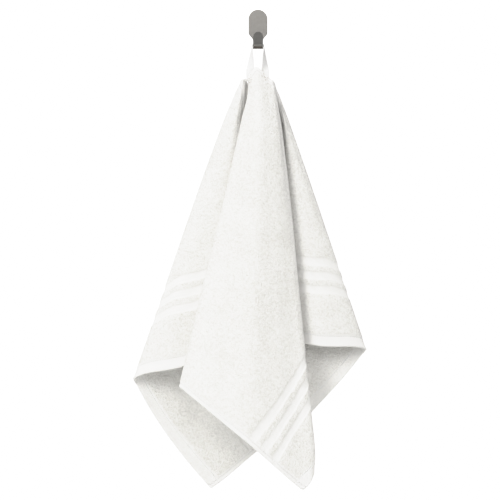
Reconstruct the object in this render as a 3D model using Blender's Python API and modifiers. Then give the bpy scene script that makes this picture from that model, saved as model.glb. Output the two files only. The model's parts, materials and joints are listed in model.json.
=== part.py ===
"""Terry hand towel hanging by its tape loop from a plain wall hook.

Frame: origin on the hook's flat back face, 20 mm below its top. X runs right, -Y runs out from the
wall towards the room, and Z runs up. Lengths are in metres, and the fold table is in centimetres.
"""
import math

import bpy
import numpy as np

CM = 0.01

# Cut of the cloth
TOWEL_LENGTH = 0.70
TOWEL_WIDTH = 0.40
TOWEL_THICKNESS = 0.0026
COLUMN_STEP = 0.016
FOLD_STEPS = 4
MIN_STEPS = 3
CLOTH_ROWS = 14

# Hanging tape
TAPE_WIDTH = 0.0100
TAPE_THICKNESS = 0.0012
TAPE_BEND = 0.0016
TAPE_FOOT = {"left": (-0.0098, -0.0124, -0.0662), "right": (0.0090, -0.0124, -0.0680)}
TAPE_JOIN_RISE = 0.0100
TAPE_JOIN_LEAN = 0.0010

# Wall hook, one bent strip of metal
HOOK_THICKNESS = 0.0020
HOOK_PLATE_WIDTH = 0.0238
HOOK_TONGUE_WIDTH = 0.0125
HOOK_TOP = 0.0203
HOOK_BOTTOM = -0.0298
HOOK_DEPTH = 0.0180
HOOK_TONGUE_TOP = -0.0092
HOOK_TAPER_START = -0.0088
HOOK_TAPER_END = -0.0185
HOOK_LEAN = 0.15
CLEARANCE = 0.0003

# How the cloth hangs. It fans out from the middle of its upper long edge, as straight rays between
# folds. A row is one ray, and its columns, in centimetres, are:
#   name; edge, where the ray ends, measured along the towel's edge from its upper left corner, down the
#   left hem, along the lower long edge and up the right hem; start, where it leaves the upper edge, from
#   the middle; reach, its hanging length over its cloth length; top (x, depth, z), hem (x, depth), neck
#   (x, depth) and far (x, depth), its places at 0, 0.9, 6 and 36 cm of cloth, with depth measured out
#   from the wall, and no hem place where the ray is straight there;
#   turn, the radius of a fold there, or 0; tip, the side to which the fold points, right 1, left -1;
#   leaves, the way that the cloth goes on from the fold, to the front 1, to the wall -1.
COLUMNS = ("name", "edge", "start", "reach", "top", "hem", "neck", "far", "turn", "tip", "leaves")
FOLDS = [
    ("near edge left", 0.0, -2.6, 1.0, (-1.68, 0.80, -6.75), None, (-2.05, 1.05), (-5.00, 1.50), 0, 0, 0),
    ("left curl", 2.3, -2.6, 1.0, (-1.66, 0.86, -6.75), None, (-2.08, 1.20), (-2.60, 1.35), 0, 0, 0),
    ("left curl side", 5.0, -2.5, 1.0, (-1.70, 0.92, -6.80), None, (-2.20, 1.42), (-0.75, 3.00), 0, 0, 0),
    ("left curl top", 8.5, -2.4, 1.0, (-1.80, 0.98, -6.85), None, (-2.45, 1.68), (-1.90, 5.30), 0, 0, 0),
    ("left inner", 12.5, -2.3, 1.0, (-1.85, 1.02, -6.82), None, (-2.90, 1.85), (-5.40, 5.80), 0, 0, 0),
    ("left panel", 16.5, -2.2, 1.0, (-1.95, 1.00, -6.85), None, (-3.45, 1.78), (-9.20, 4.50), 0, 0, 0),
    ("left outer fold", 23.2, -2.1, 0.99, (-2.08, 0.70, -6.85), None, (-4.30, 1.10), (-14.10, 2.20), 0.65, -1, -1),
    ("left corner", 40.0, -2.0, 0.99, (-1.70, 0.35, -6.95), None, (-2.30, 0.50), (-4.65, 0.80), 0, 0, 0),
    ("back selvage", 47.4, -2.0, 0.98, (-1.45, 0.33, -6.95), None, (-1.45, 0.45), (-0.45, 0.60), 0, 0, 0),
    ("hidden turn", 57.0, -1.9, 0.98, (-1.05, 0.50, -7.30), None, (-0.55, 0.65), (4.60, 1.00), 0.35, 1, 1),
    ("hidden rise", 65.0, -1.9, 1.0, (-1.10, 0.92, -7.30), None, (-1.10, 1.30), (0.40, 2.40), 0, 0, 0),
    ("hidden crest", 72.0, -1.8, 1.0, (-1.10, 1.05, -7.25), None, (-1.10, 1.75), (-1.10, 6.30), 0, 0, 0),
    ("under front", 78.0, -1.7, 0.98, (-1.15, 1.13, -7.20), None, (-1.55, 2.00), (-4.60, 6.70), 0, 0, 0),
    ("front left fold", 84.0, -1.6, 0.965, (-1.64, 1.40, -6.78), (-1.06, 1.56), (-1.98, 2.45), (-8.40, 7.20), 0.40, -1, 1),
    ("front left slope", 92.0, -0.8, 0.985, (-0.92, 1.44, -6.05), (-0.60, 1.66), (-0.95, 2.90), (-4.70, 8.40), 0, 0, 0),
    ("front ridge", 98.9, -0.1, 1.0, (-0.15, 1.44, -5.30), (-0.02, 1.68), (0.25, 3.10), (-1.35, 8.50), 0, 0, 0),
    ("front right slope", 105.0, 1.1, 0.995, (1.00, 1.45, -6.33), (1.12, 1.66), (1.62, 2.95), (2.05, 7.70), 0, 0, 0),
    ("right far corner", 110.0, 1.7, 0.985, (1.60, 1.50, -6.85), None, (2.48, 2.60), (4.40, 6.70), 0, 0, 0),
    ("front right fold", 112.6, 1.9, 0.985, (1.86, 1.42, -7.00), None, (2.80, 2.20), (5.78, 6.00), 0.35, 1, -1),
    ("right tuck fold", 117.8, 2.0, 0.985, (1.10, 1.05, -7.40), None, (1.60, 1.60), (2.40, 4.20), 0.35, -1, -1),
    ("right back", 124.5, 2.1, 0.985, (1.50, 0.42, -7.20), None, (2.70, 0.75), (6.60, 2.10), 0, 0, 0),
    ("right outer fold", 135.3, 2.1, 0.985, (1.98, 0.70, -7.10), None, (3.98, 1.05), (13.40, 2.60), 0.65, 1, 1),
    ("right panel", 143.0, 2.3, 1.0, (1.93, 1.02, -7.20), None, (3.62, 1.52), (7.35, 4.85), 0, 0, 0),
    ("right curl top", 145.5, 2.4, 1.0, (1.88, 1.00, -7.22), None, (3.46, 1.50), (5.60, 4.30), 0, 0, 0),
    ("right curl side", 147.8, 2.5, 1.0, (1.84, 0.95, -7.24), None, (3.36, 1.39), (4.55, 3.55), 0, 0, 0),
    ("near edge right", 150.0, 2.6, 1.0, (1.78, 0.86, -7.25), None, (3.29, 1.24), (5.40, 2.90), 0, 0, 0),
]
HEM = 0.009
NECK = 0.06
FAR = 0.36
STATIONS = np.array([0, HEM, NECK, FAR])
TOP_TURN = 0.0018
RAY_STEPS = 60
CORNER_TURN = 0.0045
CORNER_SPAN = (1.106, 1.122, 1.132, 1.160)
CORNER_SHARE = 0.92


def clear_scene():
    for obj in list(bpy.data.objects):
        bpy.data.objects.remove(obj, do_unlink=True)


def make_material(name, color, roughness, metallic=0.0):
    material = bpy.data.materials.new(name)
    material.use_nodes = True
    shader = material.node_tree.nodes["Principled BSDF"]
    shader.inputs["Base Color"].default_value = (*color, 1.0)
    shader.inputs["Roughness"].default_value = roughness
    shader.inputs["Metallic"].default_value = metallic
    material.diffuse_color = (*color, 1.0)
    return material


def sheet_object(name, points, thickness, material, collection):
    """A closed solid from a grid of mid-surface points, thickened evenly to both sides."""
    columns, rows = points.shape[:2]
    index = np.arange(columns * rows).reshape(columns, rows)
    corners = (index[:-1, :-1], index[1:, :-1], index[1:, 1:], index[:-1, 1:])
    faces = np.stack(corners, axis=-1).reshape(-1, 4)
    mesh = bpy.data.meshes.new(name)
    mesh.from_pydata(points.reshape(-1, 3).tolist(), [], faces.tolist())
    mesh.shade_smooth()
    mesh.materials.append(material)
    obj = bpy.data.objects.new(name, mesh)
    collection.objects.link(obj)
    solidify = obj.modifiers.new("Thickness", "SOLIDIFY")
    solidify.thickness = thickness
    solidify.offset = 0.0
    return obj


def edge_point(edge):
    """Cloth place (across from the middle, down from the upper edge) of a length along the edge."""
    half, side = TOWEL_LENGTH / 2, TOWEL_WIDTH + TOWEL_LENGTH
    across = np.clip(edge - TOWEL_WIDTH - half, -half, half)
    down = np.where(edge > side, side + TOWEL_WIDTH - edge, np.minimum(edge, TOWEL_WIDTH))
    return across, down


def fold_rays():
    """The table as arrays, with a shoulder ray added on both sides of each fold's tip."""
    rays = []
    for values in FOLDS:
        row = dict(zip(COLUMNS, values))
        edge, start, turn = row["edge"] * CM, row["start"] * CM, row["turn"] * CM
        across, down = edge_point(edge)
        length = math.hypot(across - start, down)
        shoulder = math.pi / 2 * turn * length / FAR * 1.2
        top, neck = row["top"][:2], row["neck"]
        hem = row["hem"] or [a + (b - a) * HEM / NECK for a, b in zip(top, neck)]
        radii = (TOP_TURN, TOP_TURN, (2 * TOP_TURN + turn) / 3, turn)
        for side in (-1, 0, 1) if turn else (0,):
            stations = []
            for place, radius in zip((top, hem, neck, row["far"]), radii):
                x = place[0] * CM - abs(side) * row["tip"] * radius
                depth = place[1] * CM + side * row["leaves"] * radius
                stations.append((x, -depth))
            rays.append((edge + side * shoulder, start, row["reach"], row["top"][2] * CM, stations))
    edge, start, reach, top_z = (np.array([ray[k] for ray in rays]) for k in range(4))
    return edge, start, reach, top_z, np.array([ray[4] for ray in rays])


def tangents(knots, values):
    """Slopes at the knots for a smooth curve that never swings past its values."""
    gap = np.diff(knots).reshape((-1,) + (1,) * (values.ndim - 1))
    slope = np.diff(values, axis=0) / gap
    before, after = slope[:-1], slope[1:]
    same = before * after > 0
    weight_1, weight_2 = 2 * gap[1:] + gap[:-1], gap[1:] + 2 * gap[:-1]
    safe_before, safe_after = np.where(same, before, 1), np.where(same, after, 1)
    mean = (weight_1 + weight_2) / (weight_1 / safe_before + weight_2 / safe_after)
    return np.concatenate([slope[:1], np.where(same, mean, 0), slope[-1:]])


def cubic(start, end, start_tangent, end_tangent, t):
    return (
        (2 * t**3 - 3 * t**2 + 1) * start
        + (t**3 - 2 * t**2 + t) * start_tangent
        + (3 * t**2 - 2 * t**3) * end
        + (t**3 - t**2) * end_tangent
    )


def through(knots, values, places):
    """The smooth curve through the values at the knots, read at places."""
    slope = tangents(knots, values)
    k = np.clip(np.searchsorted(knots, places, side="right") - 1, 0, len(knots) - 2)
    shape = (-1,) + (1,) * (values.ndim - 1)
    gap = np.diff(knots)[k].reshape(shape)
    t = (places - knots[k]).reshape(shape) / gap
    return cubic(values[k], values[k + 1], slope[k] * gap, slope[k + 1] * gap, t)


def ray_places(stations, length):
    """(x, y) on each ray at cloth lengths from its start, straight beyond the far station."""
    values = stations.transpose(1, 0, 2)
    slope = tangents(STATIONS, values)
    k = np.clip(np.searchsorted(STATIONS, length, side="right") - 1, 0, len(STATIONS) - 2)
    ray = np.arange(len(stations))[:, None]
    gap = np.diff(STATIONS)[k][..., None]
    beyond = np.maximum(length - FAR, 0)[..., None]
    t = (length - STATIONS[k])[..., None] / gap - beyond / gap
    inner = cubic(values[k, ray], values[k + 1, ray], slope[k, ray] * gap, slope[k + 1, ray] * gap, t)
    return inner + beyond * slope[-1][:, None]


def corner_turn(edges, shares):
    """How far the lower end of the front panel's right fold is turned inwards."""
    near = np.interp(edges, CORNER_SPAN, (0, 1, 1, 0))
    near = near * near * (3 - 2 * near)
    return CORNER_TURN * near[:, None] * (np.maximum(shares - CORNER_SHARE, 0) / (1 - CORNER_SHARE)) ** 2


def cloth_surface(edges, shares):
    """Mid-surface points for rays that end at edges, at shares of each ray's length."""
    knots, starts, reaches, tops, stations = fold_rays()
    start = through(knots, starts, edges)
    reach = through(knots, reaches, edges)[:, None]
    places = through(knots, stations, edges)
    across, down = edge_point(edges)
    length = np.hypot(across - start, down)[:, None]
    fine = np.linspace(0, 1, RAY_STEPS + 1)
    path = ray_places(places, length * fine)
    sideways = np.square(np.diff(path, axis=1)).sum(axis=-1)
    step = (reach * length / RAY_STEPS) ** 2
    drop = np.sqrt(np.maximum(step - sideways, 0.1 * step))
    fall = np.concatenate([np.zeros_like(length), np.cumsum(drop, axis=1)], axis=1)
    z = through(knots, tops, edges)[:, None] - np.array([np.interp(shares, fine, f) for f in fall])
    points = np.dstack([ray_places(places, length * shares), z])
    points[..., 0] -= corner_turn(edges, shares)
    return points


def cloth_edges():
    """Edge places of the mesh's columns, close together round the folds."""
    knots = fold_rays()[0]
    places = [knots[:1]]
    turns = np.array([row[COLUMNS.index("turn")] for row in FOLDS]) > 0
    tight = np.repeat(turns, np.where(turns, 3, 1))
    for k in range(len(knots) - 1):
        steps = max(MIN_STEPS, round((knots[k + 1] - knots[k]) / COLUMN_STEP))
        if tight[k] and tight[k + 1]:
            steps = FOLD_STEPS
        places.append(np.linspace(knots[k], knots[k + 1], steps + 1)[1:])
    return np.concatenate(places)


def build_towel(collection):
    shares = np.linspace(0, 1, CLOTH_ROWS) ** 1.35
    points = cloth_surface(cloth_edges(), shares)
    white = make_material("white_terry", (0.86, 0.85, 0.83), 0.95)
    return sheet_object("towel", points, TOWEL_THICKNESS, white, collection)


def arc(center, radius, start, end, steps):
    angles = np.linspace(start, end, steps + 1)
    return [(center[0] + radius * math.cos(a), center[1] + radius * math.sin(a)) for a in angles]


def tape_points():
    """Mid-surface of the loop: flat against the cloth at both feet, turned edge on through the hook."""
    side = HOOK_TONGUE_WIDTH / 2 + CLEARANCE + TAPE_THICKNESS / 2
    middle_y = -HOOK_DEPTH / 2
    bowl = HOOK_DEPTH / 2 - HOOK_THICKNESS
    seat = HOOK_BOTTOM + HOOK_DEPTH / 2 - math.sqrt(bowl**2 - (TAPE_WIDTH / 2) ** 2)
    crest = seat + 3 * CLEARANCE + TAPE_THICKNESS / 2
    sections = []
    for name, sign in (("left", -1), ("right", 1)):
        x, y, z = TAPE_FOOT[name]
        join = (x, y + TAPE_JOIN_LEAN, z + TAPE_JOIN_RISE)
        hook = (sign * side, middle_y, crest - TAPE_BEND)
        leg = [((x, y, z), 0.0), (join, 0.0)]
        for t in np.linspace(0, 1, 13)[1:]:
            place = [a + (b - a) * t for a, b in zip(join, hook)]
            leg.append((place, math.acos(1 - t)))
        center = (sign * (side - TAPE_BEND), crest - TAPE_BEND)
        bend = arc(center, TAPE_BEND, 0, math.pi / 2, 4)[1:]
        leg += [((center[0] + sign * (px - center[0]), middle_y, pz), math.pi / 2) for px, pz in bend]
        sections.append(leg if sign < 0 else leg[::-1])
    points = []
    for (x, y, z), twist in sections[0] + sections[1]:
        sign = -1 if x < 0 else 1
        half = TAPE_WIDTH / 2
        ends = []
        for k in (-1, 0, 1):
            ends.append((x - sign * k * half * math.cos(twist), y - k * half * math.sin(twist), z))
        points.append(ends)
    return np.array(points)


def build_tape(collection):
    cotton = make_material("white_tape", (0.87, 0.86, 0.84), 0.8)
    return sheet_object("hanging_loop", tape_points(), TAPE_THICKNESS, cotton, collection)


def hook_half_width(height, on_tongue):
    """Half the strip's width at a height: a round-ended plate that tapers into a round-ended tongue."""
    plate, tongue = HOOK_PLATE_WIDTH / 2, HOOK_TONGUE_WIDTH / 2
    if on_tongue:
        below = HOOK_TONGUE_TOP - height
        return math.sqrt(max(tongue**2 - max(tongue - below, 0) ** 2, 0))
    below = HOOK_TOP - height
    if below < plate:
        return math.sqrt(max(plate**2 - (plate - below) ** 2, 0))
    t = (HOOK_TAPER_START - height) / (HOOK_TAPER_START - HOOK_TAPER_END)
    t = min(max(t, 0), 1)
    return plate + (tongue - plate) * (3 * t**2 - 2 * t**3)


def hook_points():
    """Mid-surface of the bent strip, from the plate's top, down, round the bend and up the tongue."""
    radius = (HOOK_DEPTH - HOOK_THICKNESS) / 2
    back = -HOOK_THICKNESS / 2
    center = (-HOOK_DEPTH / 2, HOOK_BOTTOM + HOOK_THICKNESS / 2 + radius)
    plate, tongue = HOOK_PLATE_WIDTH / 2, HOOK_TONGUE_WIDTH / 2
    rows = []
    for a in np.linspace(0.12, math.pi / 2, 9):
        rows.append((back, HOOK_TOP - plate * (1 - math.cos(a)), False))
    for z in np.linspace(HOOK_TAPER_START, HOOK_TAPER_END, 8):
        rows.append((back, z, False))
    for y, z in arc(center, radius, 0, HOOK_LEAN - math.pi, 16):
        rows.append((y, z, False))
    for a in np.linspace(math.pi / 2, 0.16, 8):
        height = HOOK_TONGUE_TOP - tongue * (1 - math.cos(a))
        rows.append((y - (height - z) * math.tan(HOOK_LEAN), height, True))
    points = []
    for y, z, on_tongue in rows:
        half = hook_half_width(z, on_tongue)
        points.append([(half * k, y, z) for k in np.linspace(-1, 1, 5)])
    return np.array(points)


def build_hook(collection):
    metal = make_material("satin_metal", (0.26, 0.25, 0.24), 0.45, 1.0)
    return sheet_object("wall_hook", hook_points(), HOOK_THICKNESS, metal, collection)


def main():
    clear_scene()
    collection = bpy.data.collections.new("hand_towel_on_wall_hook")
    bpy.context.scene.collection.children.link(collection)
    build_towel(collection)
    build_tape(collection)
    build_hook(collection)


main()
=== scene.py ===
# %% [markdown]
# # A white terry hand towel on a wall hook
#
# The towel hangs by a tape loop from the middle of one long edge. Its own weight pulls every thread
# straight down from that one spot, so the cloth opens like a fan and falls into a few deep folds.
#
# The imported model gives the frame: the solids of the towel, the tape and the hook, in metres, with the
# hook's flat back on the plane y = 0. Everything below is laid on those solids.

# %% Load the frame
import json
import math

import bpy
import numpy as np
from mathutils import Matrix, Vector

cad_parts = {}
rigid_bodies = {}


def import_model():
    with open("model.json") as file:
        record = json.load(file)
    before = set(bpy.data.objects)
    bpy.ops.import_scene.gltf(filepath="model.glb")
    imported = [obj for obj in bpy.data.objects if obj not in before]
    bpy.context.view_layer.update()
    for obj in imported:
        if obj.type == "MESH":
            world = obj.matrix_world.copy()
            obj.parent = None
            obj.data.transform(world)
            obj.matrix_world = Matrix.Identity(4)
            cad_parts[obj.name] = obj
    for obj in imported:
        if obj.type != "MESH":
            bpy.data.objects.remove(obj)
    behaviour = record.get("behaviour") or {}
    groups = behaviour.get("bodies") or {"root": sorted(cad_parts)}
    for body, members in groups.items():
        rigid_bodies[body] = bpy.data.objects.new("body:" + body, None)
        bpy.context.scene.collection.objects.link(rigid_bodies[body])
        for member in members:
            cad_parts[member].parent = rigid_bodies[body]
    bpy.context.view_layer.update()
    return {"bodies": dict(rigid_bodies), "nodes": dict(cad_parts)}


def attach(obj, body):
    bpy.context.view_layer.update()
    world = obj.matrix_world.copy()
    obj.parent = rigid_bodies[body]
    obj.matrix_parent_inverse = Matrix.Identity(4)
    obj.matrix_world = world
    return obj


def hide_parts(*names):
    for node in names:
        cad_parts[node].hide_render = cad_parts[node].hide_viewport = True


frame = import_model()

BODY = list(frame["bodies"])[0]
print("nodes:", sorted(frame["nodes"]), "body:", BODY)


def new_object(name, data):
    """An object made of some data, and put into the scene."""
    obj = bpy.data.objects.new(name, data)
    bpy.context.collection.objects.link(obj)
    return obj


# %% [markdown]
# ## Camera
#
# The picture is square and taken straight on, from far away, so the towel shows almost no perspective.
# A long lens 2.5 m from the wall plane does that. The camera's height is the middle of the picture.

# %% Camera
CAMERA_DISTANCE = 2.5
CAMERA_PLACE = (-0.01008, -CAMERA_DISTANCE, -0.2823)
VIEW_WIDTH = 0.6301
SENSOR = 36.0

camera_data = bpy.data.cameras.new("camera")
camera_data.sensor_width = SENSOR
camera_data.lens = SENSOR * CAMERA_DISTANCE / VIEW_WIDTH
camera = new_object("camera", camera_data)
camera.location = CAMERA_PLACE
camera.rotation_euler = (math.pi / 2, 0, 0)
bpy.context.scene.camera = camera
print("lens:", round(camera_data.lens, 1), "mm")

# %% [markdown]
# ## Helpers for trees of nodes
#
# Every material is a small tree of nodes, and so are the world's light and the stitches. These helpers add
# a node, set its inputs, and join it in one line.

# %% Node helpers
def add(tree, kind, inputs=None, family="ShaderNode", **settings):
    """A new node with its settings and its inputs, each of them a value or another node's socket."""
    node = tree.nodes.new(family + kind)
    for name, value in settings.items():
        setattr(node, name, value)
    for name, value in (inputs or {}).items():
        if isinstance(value, bpy.types.NodeSocket):
            tree.links.new(value, node.inputs[name])
        else:
            node.inputs[name].default_value = value
    return node


def calc(tree, operation, *values):
    return add(tree, "Math", dict(enumerate(values)), operation=operation).outputs[0]


def soft_step(tree, value, low, high, start=0.0, end=1.0):
    """start below low, end above high, and a soft change between."""
    limits = {"Value": value, "From Min": low, "From Max": high, "To Min": start, "To Max": end}
    return add(tree, "MapRange", limits, interpolation_type="SMOOTHSTEP").outputs[0]


def soft_below(tree, value, low, high):
    """1 below low, 0 above high, and a soft change between."""
    return soft_step(tree, value, low, high, 1.0, 0.0)


def noise(tree, place, scale, detail=2.0, roughness=0.5):
    """The outputs of a noise: its value first, and its color."""
    inputs = {"Vector": place, "Scale": scale, "Detail": detail, "Roughness": roughness}
    return add(tree, "TexNoise", inputs).outputs


def blend_colors(tree, share, first, second):
    """The first color where share is 0, the second where it is 1."""
    mix = add(tree, "Mix", {0: share}, data_type="RGBA")
    for socket, color in ((mix.inputs[6], first), (mix.inputs[7], second)):
        if isinstance(color, bpy.types.NodeSocket):
            tree.links.new(color, socket)
        else:
            socket.default_value = (*color, 1.0)
    return mix.outputs[2]


def new_material(name, roughness):
    material = bpy.data.materials.new(name)
    material.use_nodes = True
    tree = material.node_tree
    shader = tree.nodes["Principled BSDF"]
    shader.inputs["Roughness"].default_value = roughness
    return material, tree, shader


def dress(tree, shader, color, height, strength, depth):
    """Gives a shader its color, and bumps of a height."""
    bump = add(tree, "Bump", {"Height": height, "Strength": strength, "Distance": depth})
    tree.links.new(bump.outputs[0], shader.inputs["Normal"])
    tree.links.new(color, shader.inputs["Base Color"])


# %% [markdown]
# ## Studio light
#
# White cloth on a white ground needs light from everywhere and a little more from one side. The white world
# lights all the folds, and the deep ones go soft grey by themselves. A large lamp, high on the left, gives
# the main light, weaker ones fill in from the front and the right, and one lights the back.
#
# The Standard view keeps white white. A tone curve over it does what the photographer did: it holds all the
# lit cloth at nearly one white, and lets the shade stay deep.

# %% Light, floor and world
WORLD_HIGH = 0.54
WORLD_LOW = 0.34
WORLD_SPAN = 0.5  # how far up and down from level the world's light changes
BACKGROUND = 1.7
WHITE = (1.0, 1.0, 1.0, 1.0)
TONES = (  # light in the scene, light shown
    (0.0, 0.0), (0.30, 0.28), (0.60, 0.56), (0.75, 0.70),
    (0.87, 0.82), (0.97, 0.885), (1.15, 0.94), (1.40, 1.0),
)
LAMP_SIZE = 1.3
LAMP_TARGET = (0, 0, -0.3)
LAMPS = {
    "left_lamp": ((-1.6, -1.7, 1.30), 53.0),
    "front_lamp": ((0.1, -2.6, 1.0), 11.0),
    "right_lamp": ((1.7, -1.3, 1.0), 15.0),
    "rear_lamp": ((-0.6, 2.6, 0.8), 36.0),
}
FLOOR_LEVEL = -0.70
FLOOR_RADIUS = 0.78
FLOOR_SIDES = 96
FLOOR_COLOR = (0.9, 0.9, 0.89, 1.0)

scene = bpy.context.scene
scene.view_settings.view_transform = "Standard"
scene.view_settings.look = "None"


def bright_studio_curve(points):
    """Sets the view's tone curve."""
    view = scene.view_settings
    view.use_curve_mapping = True
    mapping = view.curve_mapping
    mapping.use_clip = False
    mapping.extend = "HORIZONTAL"
    brightest = points[-1][0]
    mapping.white_level = (brightest, brightest, brightest)
    curve = mapping.curves[3]
    for light, shown in points[1:-1]:
        curve.points.new(light / brightest, shown)
    for point in curve.points:
        point.handle_type = "AUTO_CLAMPED"
    mapping.update()


bright_studio_curve(TONES)


def white_world():
    """Full white behind the object, and a softer white light on it, dimmer from below."""
    world = bpy.data.worlds.new("white_studio")
    world.use_nodes = True
    tree = world.node_tree
    tree.nodes.clear()
    height = add(tree, "SeparateXYZ", {0: add(tree, "TexCoord").outputs["Generated"]}).outputs["Z"]
    limits = {"From Min": -WORLD_SPAN, "From Max": WORLD_SPAN, "To Min": WORLD_LOW, "To Max": WORLD_HIGH}
    by_height = add(tree, "MapRange", {"Value": height, **limits}).outputs[0]
    falling = add(tree, "Background", {"Color": WHITE, "Strength": by_height}).outputs[0]
    seen = add(tree, "Background", {"Color": WHITE, "Strength": BACKGROUND}).outputs[0]
    camera_ray = add(tree, "LightPath").outputs["Is Camera Ray"]
    mix = add(tree, "MixShader", {0: camera_ray, 1: falling, 2: seen}).outputs[0]
    add(tree, "OutputWorld", {"Surface": mix})
    return world


def soft_lamp(name, place, power):
    """A round lamp that looks at the towel's middle."""
    data = bpy.data.lights.new(name, "AREA")
    data.shape = "DISK"
    data.size = LAMP_SIZE
    data.energy = power
    lamp = new_object(name, data)
    lamp.location = place
    direction = Vector(LAMP_TARGET) - Vector(place)
    lamp.rotation_euler = direction.to_track_quat("-Z", "Y").to_euler()


scene.world = white_world()
for lamp_name, (lamp_place, lamp_power) in LAMPS.items():
    soft_lamp(lamp_name, lamp_place, lamp_power)

floor_angles = np.linspace(0, 2 * math.pi, FLOOR_SIDES + 1)[:-1]
floor_points = [(FLOOR_RADIUS * math.cos(a), FLOOR_RADIUS * math.sin(a), FLOOR_LEVEL) for a in floor_angles]
floor_mesh = bpy.data.meshes.new("floor")
floor_mesh.from_pydata(floor_points, [], [tuple(range(len(floor_points)))])
floor = new_object("floor", floor_mesh)
floor_paint, _, floor_shader = new_material("pale_floor", 0.9)
floor_shader.inputs["Base Color"].default_value = FLOOR_COLOR
floor_mesh.materials.append(floor_paint)
print("floor at", FLOOR_LEVEL, "m, below the picture")

# %% [markdown]
# ## The cut cloth
#
# A hand towel is one flat piece, 70 cm by 40 cm. Its ends are turned over into hems, its long sides into
# narrow ones, and three flat bands cross it near each end. All of these are measured on the flat cloth, so
# every point of the towel keeps its cloth place: across from the middle, and down from the upper edge.

# %% Sizes of the cloth
CM = 0.01
MM = 0.001
TOWEL_LENGTH = 0.70
TOWEL_WIDTH = 0.40
HALF = TOWEL_LENGTH / 2
END_HEM = 13.5 * MM
SIDE_HEM = 6.0 * MM
BAND_FIRST = 68.8 * MM
BAND_PITCH = 17.1 * MM
BAND_HALF = 4.3 * MM
BANDS = 3
SEAM_INSET = 1.4 * MM
TACK_ACROSS, TACK_DOWN, TACK_HALF = 11.5 * MM, 4.6 * MM, 3.8 * MM
last_band = BAND_FIRST + (BANDS - 1) * BAND_PITCH + BAND_HALF
print("bands end", round(last_band / MM, 1), "mm from the hem's edge")

# %% [markdown]
# ## How it hangs
#
# Cloth that is held at one spot hangs in straight lines from it. So the table has one row for each fold,
# and each row is one straight line of cloth, called a ray. The rays start close together on the upper
# edge and end all round the other three edges. Between the rows the cloth follows a smooth curve that
# never swings past the values it joins, so layers that lie 3 mm apart never cut each other.
#
# A cloth simulation would hang as well, but never in the same folds as the real towel.

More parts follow.
